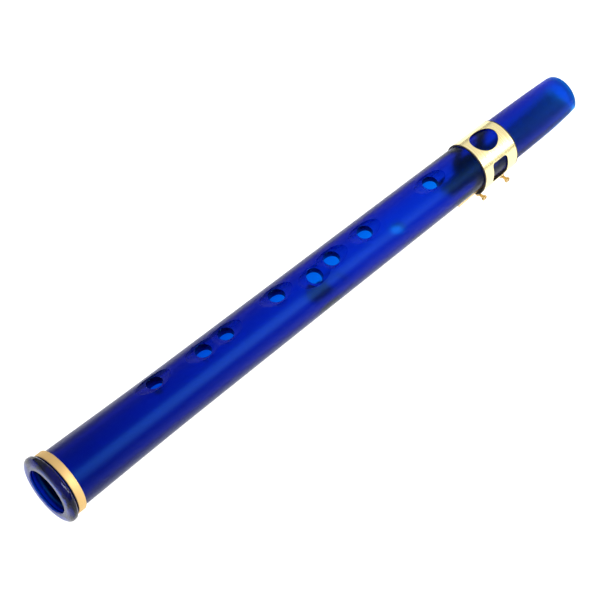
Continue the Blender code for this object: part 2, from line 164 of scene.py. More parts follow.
# Lugs and thumbscrews
LUG_STATIONS = {"bell": 0.2509, "tip": 0.2664}
LUG_Y = 0.0064
LUG_RADIUS = 0.0014
LUG_NECK = 0.00115
LUG_NECK_LENGTH = 0.0005
LUG_FOOT_RADIUS = 0.00125
LUG_FILLET = 0.0004
LUG_OVERLAP = 0.0001
LUG_CLEARANCE = 0.00008
SCREW_Z = -0.0146
SCREW_RADIUS = 0.0006
SCREW_HEAD_RADIUS = 0.00135
SCREW_HEAD_Y = 0.0096
SCREW_HEAD_END = 0.0108
SCREW_END_Y = 0.0088
SCREW_EDGE = 0.00025
SCREW_POINT = 0.0006
SCREW_SLOT = (0.0005, 0.0008, 0.01)
SLOT_CORNER = 0.0001
COLLAR_RADIUS = 0.0008
COLLAR_Y = (LUG_Y + 0.0017, LUG_Y + 0.0018)
HEAD_TEETH = 18
TOOTH_DEPTH = 0.00012
WELD = 0.000002

# Strap holder
PLATE_X = (0.1502, 0.1618)
PLATE_WIDTH = 0.0120
PLATE_INNER = 0.01215
PLATE_OUTER = 0.01315
PLATE_CORNER = 0.0025
PLATE_EDGE = 0.00015
PLATE_BLANK = 0.006
STRAP_PIVOT_X = 0.1560
STRAP_PIVOT_Z = -0.0140
STRAP_WIRE = 0.00075
STRAP_LUG_RADIUS = 0.0015
STRAP_LUG_WIDTH = 0.0044
STRAP_RING_LENGTH = 0.0142
STRAP_RING_HALF_WIDTH = 0.0050
STRAP_RING_CORNER = 0.0022
STRAP_CLEARANCE = 0.0001
STRAP_SCREWS = {"bell": 0.1524, "tip": 0.1596}
STRAP_SCREW_HEAD = 0.0014
STRAP_SCREW_DOME = 0.0008
STRAP_SCREW_SHANK = 0.0008
STRAP_SCREW_REACH = 0.002
STRAP_SCREW_SLOT = (0.0004, 0.01, 0.0008)

# Camera, relative to the bell mouth
CAMERA_FROM = Vector((-0.2474, -0.4017, 0.7367))
CAMERA_AT = Vector((0.1421, -0.0011, -0.0006))
CAMERA_LENS = 128.2
SENSOR_WIDTH = 36

# Stage
FLOOR_RADIUS = 6
LAMP_PLACE = (0.45, -0.92, 0.76)
LAMP_SIZE = (0.4, 0.8)
LAMP_POWER = 13
SKY = ((0.0, 0.25), (0.12, 0.4), (0.35, 0.95), (1.0, 1.0))


# ---------------------------------------------------------------- materials

def new_material(name):
    material = bpy.data.materials.new(name)
    material.use_nodes = True
    return material, material.node_tree.nodes["Principled BSDF"]


def add_node(material, kind, **settings):
    node = material.node_tree.nodes.new(kind)
    for key, value in settings.items():
        setattr(node, key, value)
    return node


def connect(material, source, target):
    material.node_tree.links.new(source, target)


def object_noise(material, scale, detail=3.0, stretch=(1, 1, 1)):
    """Noise in the piece's own coordinates, in features per metre."""
    coordinates = add_node(material, "ShaderNodeTexCoord")
    mapping = add_node(material, "ShaderNodeMapping")
    mapping.inputs["Scale"].default_value = [scale * part for part in stretch]
    noise = add_node(material, "ShaderNodeTexNoise")
    noise.inputs["Scale"].default_value = 1.0
    noise.inputs["Detail"].default_value = detail
    connect(material, coordinates.outputs["Object"], mapping.inputs["Vector"])
    connect(material, mapping.outputs["Vector"], noise.inputs["Vector"])
    return noise


def spread(material, source, low, high, start=0.3, end=0.7):
    """Map a noise value to a range."""
    node = add_node(material, "ShaderNodeMapRange")
    node.inputs["From Min"].default_value = start
    node.inputs["From Max"].default_value = end
    node.inputs["To Min"].default_value = low
    node.inputs["To Max"].default_value = high
    connect(material, source, node.inputs["Value"])
    return node.outputs["Result"]


def bump(material, shader, source, distance, strength=1.0):
    node = add_node(material, "ShaderNodeBump")
    node.inputs["Distance"].default_value = distance
    node.inputs["Strength"].default_value = strength
    connect(material, source, node.inputs["Height"])
    connect(material, node.outputs["Normal"], shader.inputs["Normal"])


def set_stops(node, stops):
    """Give a colour ramp its stops, each a position and a colour."""
    elements = node.color_ramp.elements
    while len(elements) < len(stops):
        elements.new(0.5)
    for element, (position, colour) in zip(elements, stops):
        element.position = position
        element.color = (*colour, 1.0)


def ramp(material, source, stops):
    node = add_node(material, "ShaderNodeValToRGB")
    set_stops(node, stops)
    connect(material, source, node.inputs["Fac"])
    return node.outputs["Color"]


def absorb(material, colour, density):
    """Tint what passes through the solid by the length of its path."""
    volume = add_node(material, "ShaderNodeVolumeAbsorption")
    volume.inputs["Color"].default_value = (*colour, 1)
    volume.inputs["Density"].default_value = density
    output = material.node_tree.nodes["Material Output"]
    connect(material, volume.outputs["Volume"], output.inputs["Volume"])


def object_x(material):
    coordinates = add_node(material, "ShaderNodeTexCoord")
    split = add_node(material, "ShaderNodeSeparateXYZ")
    connect(material, coordinates.outputs["Object"], split.inputs["Vector"])
    return split.outputs["X"]


def blue_plastic():
    """Translucent blue ABS with faint clouds in the pigment, and painted shade that deepens the blue towards
    the bell.

    Its skin and bore are satin, and the mouthpiece is duller. An attribute of the mesh makes the dishes of
    the holes smoother,
    and paints shade into the holes: the dishes a little darker and the drilled walls almost black.
    """
    material, shader = new_material("blue_plastic")
    shader.inputs["IOR"].default_value = 1.27
    shader.inputs["Specular Tint"].default_value = (0.05, 0.35, 1.0, 1)
    shader.inputs["Transmission Weight"].default_value = 1.0
    clouds = object_noise(material, 60, detail=3)
    # Painted shade: the tint darkens from 20 cm along the tube down to the bell mouth, with the pigment's
    # clouds on top.
    along = add_node(material, "ShaderNodeMath", operation="ADD")
    connect(material, spread(material, object_x(material), 0.0, 1.0, 0.02, 0.20), along.inputs[0])
    connect(material, spread(material, clouds.outputs["Fac"], -0.06, 0.06), along.inputs[1])
    tint = ramp(material, along.outputs["Value"], [
        (0.0, (0.08, 0.24, 0.68)), (0.55, (0.16, 0.44, 0.86)), (1.0, (0.24, 0.60, 1.0)),
    ])
    # Painted shade in the holes: the dishes a little darker and the drilled walls almost black.
    polish_and_shade = add_node(material, "ShaderNodeAttribute", attribute_name="polish_and_shade")
    shade = ramp(material, polish_and_shade.outputs["Fac"], [
        (0.0, (1, 1, 1)), (DISH_POLISH_AND_SHADE, (0.72, 0.72, 0.80)), (1.0, (0.05, 0.05, 0.10)),
    ])
    tint_with_painted_shade = add_node(material, "ShaderNodeVectorMath", operation="MULTIPLY")
    connect(material, tint, tint_with_painted_shade.inputs[0])
    connect(material, shade, tint_with_painted_shade.inputs[1])
    connect(material, tint_with_painted_shade.outputs["Vector"], shader.inputs["Base Color"])
    grain = object_noise(material, 2500, detail=2)
    smoothness = spread(material, polish_and_shade.outputs["Fac"], 0.0, 0.22, 0.0, DISH_POLISH_AND_SHADE)
    rough = add_node(material, "ShaderNodeMath", operation="SUBTRACT")
    connect(material, spread(material, grain.outputs["Fac"], 0.29, 0.35), rough.inputs[0])
    connect(material, smoothness, rough.inputs[1])
    matted = add_node(material, "ShaderNodeMath", operation="ADD")
    connect(material, rough.outputs["Value"], matted.inputs[0])
    connect(material, spread(material, object_x(material), 0.0, 0.15, 0.262, 0.276), matted.inputs[1])
    connect(material, matted.outputs["Value"], shader.inputs["Roughness"])
    bump(material, shader, grain.outputs["Fac"], 0.000004, 0.5)
    absorb(material, (0.0, 0.81, 0.95), 2000)
    return material


def navy_plastic():
    """The same plastic, polished: almost black where it is thick."""
    material, shader = new_material("navy_plastic")
    shader.inputs["IOR"].default_value = 1.4
    shader.inputs["Specular Tint"].default_value = (0.4, 0.45, 0.6, 1)
    shader.inputs["Transmission Weight"].default_value = 1.0
    smear = object_noise(material, 260, detail=3)
    tint = ramp(material, smear.outputs["Fac"], [(0.3, (0.04, 0.17, 0.58)), (0.7, (0.05, 0.20, 0.64))])
    connect(material, tint, shader.inputs["Base Color"])
    connect(material, spread(material, smear.outputs["Fac"], 0.06, 0.12), shader.inputs["Roughness"])
    absorb(material, (0.0, 0.80, 0.92), 2000)
    return material


def painted_shade_metal():
    """Painted shade on the plated metal: dull and almost black, for its inner faces, cut edges and the
    strips beside its gaps.
    """
    material, shader = new_material("painted_shade_metal")
    patches = object_noise(material, 500, detail=3)
    tint = ramp(material, patches.outputs["Fac"], [
        (0.3, (0.010, 0.008, 0.006)), (0.7, (0.030, 0.022, 0.014)),
    ])
    connect(material, tint, shader.inputs["Base Color"])
    connect(material, spread(material, patches.outputs["Fac"], 0.5, 0.7), shader.inputs["Roughness"])
    return material


def gold(name, colour, roughness, brushing):
    """Plated metal, brushed round the axis of the tube."""
    material, shader = new_material(name)
    shader.inputs["Metallic"].default_value = 1.0
    lines = object_noise(material, 1, detail=4, stretch=(brushing, 60, 60))
    tint = ramp(material, lines.outputs["Fac"], [
        (0.3, [part * 0.86 for part in colour]), (0.7, colour),
    ])
    connect(material, tint, shader.inputs["Base Color"])
    connect(material, spread(material, lines.outputs["Fac"], roughness * 0.8, roughness * 1.25),
            shader.inputs["Roughness"])
    bump(material, shader, lines.outputs["Fac"], 0.00003, 0.5)
    return material


def cane():
    """Split cane: fibres along the reed, glossy mottled bark at the butt and a pale cut vamp."""
    material, shader = new_material("cane")
    fibres = object_noise(material, 1, detail=5, stretch=(45, 3200, 3200))
    blotches = object_noise(material, 160, detail=3)
    wood = ramp(material, fibres.outputs["Fac"], [
        (0.25, (0.50, 0.30, 0.12)), (0.5, (0.72, 0.52, 0.26)), (0.75, (0.84, 0.68, 0.40)),
    ])
    bark = ramp(material, blotches.outputs["Fac"], [
        (0.35, (0.55, 0.36, 0.13)), (0.55, (0.80, 0.62, 0.28)), (0.7, (0.86, 0.72, 0.40)),
    ])
    vamp = REED_LENGTH - REED_VAMP
    is_bark = spread(material, object_x(material), 0.55, 0.0, vamp - VAMP_BLEND, vamp + VAMP_BLEND)
    mix = add_node(material, "ShaderNodeMix", data_type="RGBA")
    connect(material, is_bark, mix.inputs["Factor"])
    connect(material, wood, mix.inputs[6])
    connect(material, bark, mix.inputs[7])
    connect(material, mix.outputs[2], shader.inputs["Base Color"])
    connect(material, spread(material, fibres.outputs["Fac"], 0.42, 0.6), shader.inputs["Roughness"])
    bump(material, shader, fibres.outputs["Fac"], 0.00004, 0.6)
    return material


def nickel():
    material, shader = new_material("nickel")
    shader.inputs["Metallic"].default_value = 1.0
    wear = object_noise(material, 700, detail=4)
    tint = ramp(material, wear.outputs["Fac"], [(0.35, (0.50, 0.50, 0.52)), (0.65, (0.68, 0.68, 0.70))])
    connect(material, tint, shader.inputs["Base Color"])
    connect(material, spread(material, wear.outputs["Fac"], 0.2, 0.34), shader.inputs["Roughness"])
    return material


BLUE = blue_plastic()
NAVY = navy_plastic()
SATIN_GOLD = gold("satin_gold", (0.72, 0.50, 0.21), 0.6, 5200)
PALE_GOLD = gold("pale_gold", (1.0, 0.86, 0.44), 0.24, 2600)
# Painted shade: the band's plated gold, made darker for the small lugs and thumbscrews.
SCREW_GOLD = gold("screw_gold", (0.62, 0.44, 0.19), 0.16, 400)
PAINTED_SHADE_METAL = painted_shade_metal()
CANE = cane()
NICKEL = nickel()


# ---------------------------------------------------------------- mesh helpers

def revolve(name, profile, steps, closed=False):
    """Turn (x, radius) points about the X axis. A radius of 0 makes a pole; closed joins the ends."""
    bm = bmesh.new()
    rings = []
    for x, radius in profile:
        if radius == 0:
            rings.append([bm.verts.new((x, 0, 0))])
            continue
        turns = [2 * math.pi * i / steps for i in range(steps)]
        rings.append([bm.verts.new((x, -radius * math.sin(a), radius * math.cos(a))) for a in turns])
    pairs = list(zip(rings, rings[1:]))
    if closed:
        pairs.append((rings[-1], rings[0]))
    for ring, following in pairs:
        for i in range(steps):
            j = (i + 1) % steps
            corners = [ring[i % len(ring)], ring[j % len(ring)],
                       following[j % len(following)], following[i % len(following)]]
            bm.faces.new(list(dict.fromkeys(corners)))
    return finish_mesh(name, bm)


def finish_mesh(name, bm):
    bmesh.ops.recalc_face_normals(bm, faces=bm.faces)
    mesh = bpy.data.meshes.new(name)
    bm.to_mesh(mesh)
    bm.free()
    return mesh


def put(mesh, location=(0, 0, 0), rotation=None):
    """An object in the row frame, from a mesh placed in the instrument's frame."""
    obj = bpy.data.objects.new(mesh.name, mesh)
    bpy.context.scene.collection.objects.link(obj)
    turn = rotation.to_matrix().to_4x4() if rotation else Matrix.Identity(4)
    obj.matrix_world = TO_ROW @ Matrix.Translation(location) @ turn
    return obj


def apply_modifiers(obj):
    """Give the object its evaluated mesh, and drop its modifiers."""
    bpy.context.view_layer.update()
    graph = bpy.context.evaluated_depsgraph_get()
    mesh = bpy.data.meshes.new_from_object(obj.evaluated_get(graph))
    mesh.name = obj.name
    obj.modifiers.clear()
    obj.data = mesh


def cut(obj, *cutters, operation="DIFFERENCE"):
    for cutter in cutters:
        modifier = obj.modifiers.new("cut", "BOOLEAN")
        modifier.operation = operation
        modifier.solver = "EXACT"
        modifier.object = cutter
    apply_modifiers(obj)
    for cutter in cutters:
        bpy.data.objects.remove(cutter)


def soften(obj, width, slot=-1):
    """Round the sharp edges. The rounds can take one of the piece's materials."""
    modifier = obj.modifiers.new("soften", "BEVEL")
    modifier.width = width
    modifier.segments = 2
    modifier.limit_method = "ANGLE"
    modifier.angle_limit = math.radians(50)
    modifier.material = slot
    apply_modifiers(obj)


def mark(mesh, test=lambda face: True):
    """Give the faces that pass a test to the piece's second material."""
    for face in mesh.polygons:
        face.material_index = 1 if test(face) else 0
    return mesh


def dress(obj, material, body, slot, *nodes, second=None, sharp=30):
    """Shade and colour a finished piece, hang it on its body's empty and hide the CAD nodes it stands for.
    Its marked faces take the second material.
    """
    mesh = obj.data
    indices = [face.material_index for face in mesh.polygons]
    mesh.materials.clear()
    mesh.materials.append(material)
    if second:
        mesh.materials.append(second)
    mesh.polygons.foreach_set("material_index", indices if second else [0] * len(indices))
    mesh.shade_smooth()
    mesh.set_sharp_from_angle(angle=math.radians(sharp))
    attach(obj, body)
    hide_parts(*nodes)
    return obj


def prism(name, outline, half_width):
    bm = bmesh.new()
    face = bm.faces.new([bm.verts.new((x, -half_width, z)) for x, z in outline])
    grown = bmesh.ops.extrude_face_region(bm, geom=[face])["geom"]
    moved = [item for item in grown if isinstance(item, bmesh.types.BMVert)]
    bmesh.ops.translate(bm, verts=moved, vec=(0, 2 * half_width, 0))
    return put(finish_mesh(name, bm))


def rod(name, radius, length, axis, centre, steps, oval=1.0):
    """Cylinder along an axis of the instrument's frame."""
    half = length / 2
    mesh = revolve(name, [(-half, 0), (-half, radius), (half, radius), (half, 0)], steps)
    mesh.transform(Matrix.Diagonal((1, oval, 1, 1)))
    return put(mesh, centre, upright(axis))


def rounded_box(name, size, radius, axis, centre):
    """Box with rounded edges along one of its axes."""
    bm = bmesh.new()
    bmesh.ops.create_cube(bm, size=1.0)
    bmesh.ops.scale(bm, verts=bm.verts, vec=size)
    edges = [e for e in bm.edges if abs((e.verts[1].co - e.verts[0].co)[axis]) > size[axis] * 0.5]
    bmesh.ops.bevel(bm, geom=edges, offset=radius, segments=8, profile=0.5, affect="EDGES")
    return put(finish_mesh(name, bm), centre)


def quarter(x, radius, edge, start):
    """Points of a quarter turn round a centre, from start degrees, as (x, radius)."""
    turns = [math.radians(start + 90 * i / 4) for i in range(5)]
    return [(x + edge * math.cos(angle), radius + edge * math.sin(angle)) for angle in turns]


def upright(direction):
    """The turn that takes a turned mesh's X axis to a direction."""
    return Vector((1, 0, 0)).rotation_difference(Vector(direction))


# ---------------------------------------------------------------- tube

def body_radius(x):
    """Outer radius at a station, rounded where the taper changes."""
    stations, radii = zip(*BODY_OUTLINE)
    reach = min(TAPER_BLEND, x - stations[0], stations[-1] - x)
    around = np.linspace(x - reach, x + reach, 9)
    return float(np.interp(around, stations, radii).mean())


def table_z(x):
    return TABLE_Z + (x - TABLE_X) * math.tan(TABLE_SLOPE)


def bore_radius(x):
    """Inner radius at a station: the bell's flare, then one long taper."""
    stations = (SPIGOT_FRONT, THROAT_X, BORE_END_X)
    return float(np.interp(x, stations, (BORE_MOUTH_RADIUS, THROAT_RADIUS, BORE_END_RADIUS)))


def body_profile():
    """Half section of the moulding, from the middle of its end face round to the end of the bore."""
    shoulder_radius = BODY_OUTLINE[0][1]
    side_start = SHOULDER_X + SHOULDER_EDGE
    face_radius = body_radius(FACE_X) - FACE_EDGE
    points = [(FACE_X, 0.0)]
    points += [(FACE_X, face_radius * part) for part in (0.25, 0.5, 0.75)]
    points += [(FACE_X - FACE_EDGE * (1 - math.cos(a)), face_radius + FACE_EDGE * math.sin(a))
               for a in np.linspace(0, math.pi / 2, 7)]
    points += [(x, body_radius(x)) for x in np.arange(FACE_X - 2 * FACE_EDGE, side_start, -WALL_STEP)]
    points.append((side_start, shoulder_radius))
    points.append((SHOULDER_X, shoulder_radius - SHOULDER_EDGE))
    points.append((SHOULDER_X, SPIGOT_RADIUS))
    points.append((SPIGOT_FRONT, SPIGOT_RADIUS))
    points += [(x, bore_radius(x)) for x in np.linspace(SPIGOT_FRONT, BORE_END_X - BORE_END_ROUND, 80)]
    end_radius = BORE_END_RADIUS - BORE_END_ROUND
    points += [(BORE_END_X - BORE_END_ROUND * (1 - math.sin(a)), end_radius + BORE_END_ROUND * math.cos(a))
               for a in np.linspace(0, math.pi / 2, 7)[1:]]
    points.append((BORE_END_X, 0.0))
    return points


def lean_face(mesh):
    """Lean the end face towards the top of the mouthpiece."""
    for vertex in mesh.vertices:
        share = min(max((vertex.co.x - FACE_X + LEAN_REACH) / LEAN_REACH, 0.0), 1.0)
        vertex.co.x += FACE_LEAN * vertex.co.z * share


def two_slots(mesh):
    """Keep apart the satin moulding and what a drill leaves, through every cut."""
    mesh.materials.append(BLUE)
    mesh.materials.append(BLUE)
    return mesh


def hole_cutter(name, x, degrees, diameter):
    """Drill with a shallow spherical head and a rounded shoulder between them."""
    radius = diameter / 2
    profile = [(DRILL_TOP, 0.0), (DRILL_TOP, DISH_REACH)]
    rim = radius + HOLE_LIP
    for reach in np.linspace(DISH_REACH, rim, 14):
        profile.append((reach ** 2 / (2 * DISH_CURVE) - DISH_DEPTH, reach))
    edge = profile[-1][0]
    for i in range(1, 5):
        angle = math.pi / 2 * i / 4
        profile.append((edge - HOLE_LIP * (1 - math.cos(angle)), rim - HOLE_LIP * math.sin(angle)))
    profile.append((-HOLE_DEPTH, radius))
    profile.append((-HOLE_DEPTH, 0.0))
    angle = math.radians(degrees)
    outward = Vector((0, -math.sin(angle), math.cos(angle)))
    mesh = mark(two_slots(revolve(name, profile, 96)))
    return put(mesh, Vector((x, 0, 0)) + outward * body_radius(x), upright(outward))


def table_cutter():
    """What is cut away below the table, and below the lay that rises towards the tip."""
    start_x = TABLE_X - TABLE_RUN_IN
    outline = [(start_x, table_z(start_x))]
    for i in range(LAY_STEPS + 2):
        part = i / LAY_STEPS
        x = LAY_START + (LENGTH - LAY_START) * part
        outline.append((x, table_z(x) + TIP_OPENING * part ** 2))
    outline.append((outline[-1][0], -CUT_REACH))
    outline.append((start_x, -CUT_REACH))
    return prism("table_cutter", outline, CUT_REACH)


# Mask for the smoothness and the painted shade of the holes.
def hole_polish_and_shade(face):
    """1 on a drilled wall, less on the dish round it, and 0 on the moulding's skin."""
    if face.material_index == 0:
        return 0.0
    outward = Vector((0, face.center.y, face.center.z)).normalized()
    return DISH_POLISH_AND_SHADE if abs(face.normal.dot(outward)) > WALL_FACING else 1.0


def make_tube():
    mesh = two_slots(revolve("tube_moulding", body_profile(), 180))
    lean_face(mesh)
    tube = put(mesh)
    cut(tube, table_cutter(), *[hole_cutter(name, *hole) for name, hole in HOLES.items()])
    # The attribute sets both the smoothness and the painted shade of the holes.
    polish_and_shade = tube.data.attributes.new("polish_and_shade", "FLOAT", "FACE")
    polish_and_shade.data.foreach_set("value", [hole_polish_and_shade(face) for face in tube.data.polygons])
    dress(tube, BLUE, "tube", "blue_plastic", "body", sharp=14)


def make_bell_ring():
    sleeve = SPIGOT_RADIUS + SLEEVE_GAP
    seat = SPIGOT_FRONT - SLEEVE_GAP
    reach, height = RING_BACK_ROUND
    rim = [(RING_BACK, sleeve), (RING_BACK, RING_RADIUS - height)]
    rim += [(RING_BACK - reach * (1 - math.cos(a)), RING_RADIUS - height + height * math.sin(a))
            for a in np.linspace(0.1, math.pi / 2, 12)]
    reach, height = RING_FRONT_ROUND
    rim += [(reach * (1 - math.sin(a)), RING_RADIUS - height + height * math.cos(a))
            for a in np.linspace(0.05, math.pi / 2, 24)]
    rim += [(RING_MOUTH_ROUND * (1 - math.cos(a)), BORE_MOUTH_RADIUS + RING_MOUTH_ROUND * (1 - math.sin(a)))
            for a in np.linspace(0, math.pi / 2, 8)]
    rim += [(seat, BORE_MOUTH_RADIUS), (seat, sleeve)]
    dress(put(revolve("bell_rim", rim, 180, closed=True)), NAVY, "tube", "navy_plastic", "bell_ring")


def make_bell_band():
    sleeve = SPIGOT_RADIUS + SLEEVE_GAP
    back = SHOULDER_X - SLEEVE_GAP
    shoulder = BAND_RADIUS - BAND_EDGE
    band = [(back, sleeve)]
    band += quarter(back - BAND_EDGE, shoulder, BAND_EDGE, 0)
    band += quarter(BAND_FRONT + BAND_EDGE, shoulder, BAND_EDGE, 90)
    band.append((BAND_FRONT, sleeve))
    trim = revolve("bell_trim", band, 180, closed=True)
    # Painted shade on the band's sides and inner face, in the gaps against the ring and the tube.
    mark(trim, lambda face: math.hypot(*face.center[1:]) < shoulder)
    dress(put(trim), SATIN_GOLD, "tube", "satin_gold", "bell_band", second=PAINTED_SHADE_METAL)


# ---------------------------------------------------------------- reed

def reed_half_width(x):
    taper = REED_BUTT_WIDTH + (REED_TIP_WIDTH - REED_BUTT_WIDTH) * x / REED_LENGTH
    length, width = REED_TIP_ROUND
    from_tip = min(REED_LENGTH - x, length) / length
    return taper / 2 - width * (1 - math.sqrt(1 - (1 - from_tip) ** 2))


def reed_section(x):
    """Outline across the reed at a station: its flat face, then its crowned back."""
    from_tip = min((REED_LENGTH - x) / REED_VAMP, 1.0)
    thickness = REED_TIP_THICKNESS + (REED_THICKNESS - REED_TIP_THICKNESS) * from_tip ** VAMP_POWER
    half = reed_half_width(x)
    section = [(x, half * side, 0) for side in np.linspace(-1, 1, 7)]
    section += [(x, half * side, -thickness * (1 - REED_CROWN * side ** 2))
                for side in np.linspace(1, -1, 25)]
    return section


def make_reed():
    vamp_start = REED_LENGTH - REED_VAMP
    round_start = REED_LENGTH - REED_TIP_ROUND[0]
    stations = list(np.linspace(0, vamp_start, 24))
    stations += list(np.linspace(vamp_start + 0.0002, round_start - 0.0001, 40))
    stations += [REED_LENGTH - REED_TIP_ROUND[0] * (1 - i / 12) ** 2 for i in range(1, 13)]
    bm = bmesh.new()
    rings = [[bm.verts.new(point) for point in reed_section(x)] for x in stations]
    count = len(rings[0])
    for ring, following in zip(rings, rings[1:]):
        for i in range(count):
            j = (i + 1) % count
            bm.faces.new((ring[i], ring[j], following[j], following[i]))
    bm.faces.new(rings[0])
    bm.faces.new(rings[-1])
    slope = Matrix.Rotation(-TABLE_SLOPE, 3, "Y").to_quaternion()
    blade = put(finish_mesh("cane_reed", bm), (REED_X, 0, table_z(REED_X) - REED_GAP), slope)
    soften(blade, REED_EDGE)
    dress(blade, CANE, "reed", "cane", "reed")


# ---------------------------------------------------------------- ligature

def ligature_half_section(radius, depth):
    """Half outline across the band: round over the tube, then in to the slit under the reed."""
    points = [(radius * math.sin(a), radius * math.cos(a)) for a in np.linspace(0, LIGATURE_TURN, 60)]
    start_y, start_z = points[-1]
    for angle in np.linspace(0, math.pi / 2, 30)[1:]:
        y = LIGATURE_SLIT + (start_y - LIGATURE_SLIT) * math.cos(angle)
        points.append((y, start_z - (depth + start_z) * math.sin(angle)))
    return points


def is_painted_shade_face(face):
    """True for the faces that take painted shade: the sheet's inner face, its ends with a strip of the outer
    face along each, and the walls of its windows.
    """
    outward = Vector((0, face.center.y, face.center.z)).normalized()
    from_end = min(face.center.x - LIGATURE_X[0], LIGATURE_X[1] - face.center.x)
    return face.normal.dot(outward) < 0.5 or from_end < LIGATURE_SHADE_STRIP


def make_ligature_band():
    bm = bmesh.new()
    rows = []
    shade_strip = LIGATURE_SHADE_STRIP / (LIGATURE_X[1] - LIGATURE_X[0])
    for along in [0, shade_strip, *np.linspace(0, 1, 12)[1:-1], 1 - shade_strip, 1]:
        x, radius, depth = ((1 - along) * pair[0] + along * pair[1]
                            for pair in (LIGATURE_X, LIGATURE_RADIUS, LIGATURE_DEPTH))
        half = ligature_half_section(radius, depth)
        outline = [(-y, z) for y, z in reversed(half)] + half[1:]
        rows.append([bm.verts.new((x, y, z)) for y, z in outline])
    for near, far in zip(rows, rows[1:]):
        for i in range(len(near) - 1):
            bm.faces.new((near[i], near[i + 1], far[i + 1], far[i]))
    mesh = bpy.data.meshes.new("ligature_sleeve")
    bm.to_mesh(mesh)
    bm.free()
    mesh.materials.append(PALE_GOLD)
    mesh.materials.append(PAINTED_SHADE_METAL)
    sleeve = put(mesh)
    shell = sleeve.modifiers.new("sheet", "SOLIDIFY")
    shell.thickness = LIGATURE_SHEET
    shell.offset = -1
    shell.use_even_offset = True
    apply_modifiers(sleeve)
    width, breadth = TOP_WINDOW
    depth, span = WINDOW_CUT
    above = (WINDOW_X, 0, LIGATURE_RADIUS[0])
    top = rod("top_window", width / 2, depth, (0, 0, 1), above, 96, breadth / width)
    opening = (SIDE_WINDOW[0], span, SIDE_WINDOW[1])
    sides = rounded_box("side_windows", opening, SIDE_WINDOW_CORNER, 1, (WINDOW_X, 0, SIDE_WINDOW_Z))
    cut(sleeve, top, sides)
    # Painted shade on the inner face, along the ends and on the window walls; the rounds made next take it
    # as well.
    mark(sleeve.data, is_painted_shade_face)
    soften(sleeve, SHEET_EDGE, slot=1)
    dress(sleeve, PALE_GOLD, "ligature", "pale_gold", "ligature_band", second=PAINTED_SHADE_METAL)


def band_bottom(x, y):
    """Height of the band's outer face under a point, where a lug is brazed on."""
    along = (x - LIGATURE_X[0]) / (LIGATURE_X[1] - LIGATURE_X[0])
    radius = LIGATURE_RADIUS[0] + along * (LIGATURE_RADIUS[1] - LIGATURE_RADIUS[0])
    depth = LIGATURE_DEPTH[0] + along * (LIGATURE_DEPTH[1] - LIGATURE_DEPTH[0])
    start_z = radius * math.cos(LIGATURE_TURN)
    start_y = radius * math.sin(LIGATURE_TURN)
    cosine = (y - LIGATURE_SLIT) / (start_y - LIGATURE_SLIT)
    return start_z - (depth + start_z) * math.sqrt(1 - cosine ** 2) - LIGATURE_SHEET


def make_lug(name, node, x, y):
    """Brazed ball lug, turned about a vertical axis and bored across."""
    centre = (x, y, SCREW_Z)
    foot = band_bottom(x, abs(y)) - SCREW_Z + LUG_OVERLAP
    neck = min(foot - LUG_NECK_LENGTH, LUG_NECK)
    neck_radius = math.sqrt(LUG_RADIUS ** 2 - neck ** 2)
    flare = LUG_FOOT_RADIUS - neck_radius
    profile = [(foot, 0.0), (foot, LUG_FOOT_RADIUS)]
    profile += [(foot - LUG_FILLET * part, LUG_FOOT_RADIUS - flare * math.sqrt(part))
                for part in (0.1, 0.3, 0.6, 1.0)]
    turns = np.linspace(math.acos(neck / LUG_RADIUS), math.pi, 18)[:-1]
    profile += [(LUG_RADIUS * math.cos(a), LUG_RADIUS * math.sin(a)) for a in turns]
    profile.append((-LUG_RADIUS, 0.0))
    lug = put(revolve(name, profile, 48), centre, upright((0, 0, 1)))
    cut(lug, rod("lug_bore", SCREW_RADIUS + LUG_CLEARANCE, 4 * LUG_RADIUS, (0, 1, 0), centre, 32))
    dress(lug, SCREW_GOLD, "ligature", "pale_gold", node)


def knurl(mesh):
    """Press teeth into the rim of a thumbscrew's head."""
    slack = 0.00001
    for vertex in mesh.vertices:
        x, y, z = vertex.co
        radius = math.hypot(y, z)
        if SCREW_HEAD_Y - slack <= x <= SCREW_HEAD_END + slack and radius > SCREW_HEAD_RADIUS * 0.8:
            tooth = TOOTH_DEPTH * (0.5 - 0.5 * math.cos(HEAD_TEETH * math.atan2(y, z)))
            vertex.co.y *= 1 - tooth / radius
            vertex.co.z *= 1 - tooth / radius


def heal(mesh):
    """Close the hairline gaps that a cut can leave."""
    bm = bmesh.new()
    bm.from_mesh(mesh)
    bmesh.ops.remove_doubles(bm, verts=bm.verts, dist=WELD)
    bmesh.ops.holes_fill(bm, edges=[edge for edge in bm.edges if edge.is_boundary], sides=4)
    bm.to_mesh(mesh)
    bm.free()


def make_thumbscrew(name, node, x, body):
    """Slender screw with a knurled, slotted head on the -Y side."""
    rim = SCREW_HEAD_RADIUS - SCREW_EDGE
    profile = [(SCREW_HEAD_END, 0.0), (SCREW_HEAD_END, rim - 0.0001)]
    profile += quarter(SCREW_HEAD_END - SCREW_EDGE, rim, SCREW_EDGE, 0)
    profile += quarter(SCREW_HEAD_Y + SCREW_EDGE, rim, SCREW_EDGE, 90)
    profile += [(SCREW_HEAD_Y, COLLAR_RADIUS), (COLLAR_Y[1], COLLAR_RADIUS), (COLLAR_Y[0], SCREW_RADIUS)]
    profile += [(SCREW_POINT - SCREW_END_Y, SCREW_RADIUS), (-SCREW_END_Y, SCREW_RADIUS - SCREW_EDGE)]
    profile.append((-SCREW_END_Y, 0.0))
    screw = put(revolve(name, profile, 144), (x, 0, SCREW_Z), upright((0, -1, 0)))
    cut(screw, rounded_box("slot", SCREW_SLOT, SLOT_CORNER, 2, (x, -SCREW_HEAD_END, SCREW_Z)))
    heal(screw.data)
    knurl(screw.data)
    dress(screw, SCREW_GOLD, body, "pale_gold", node)


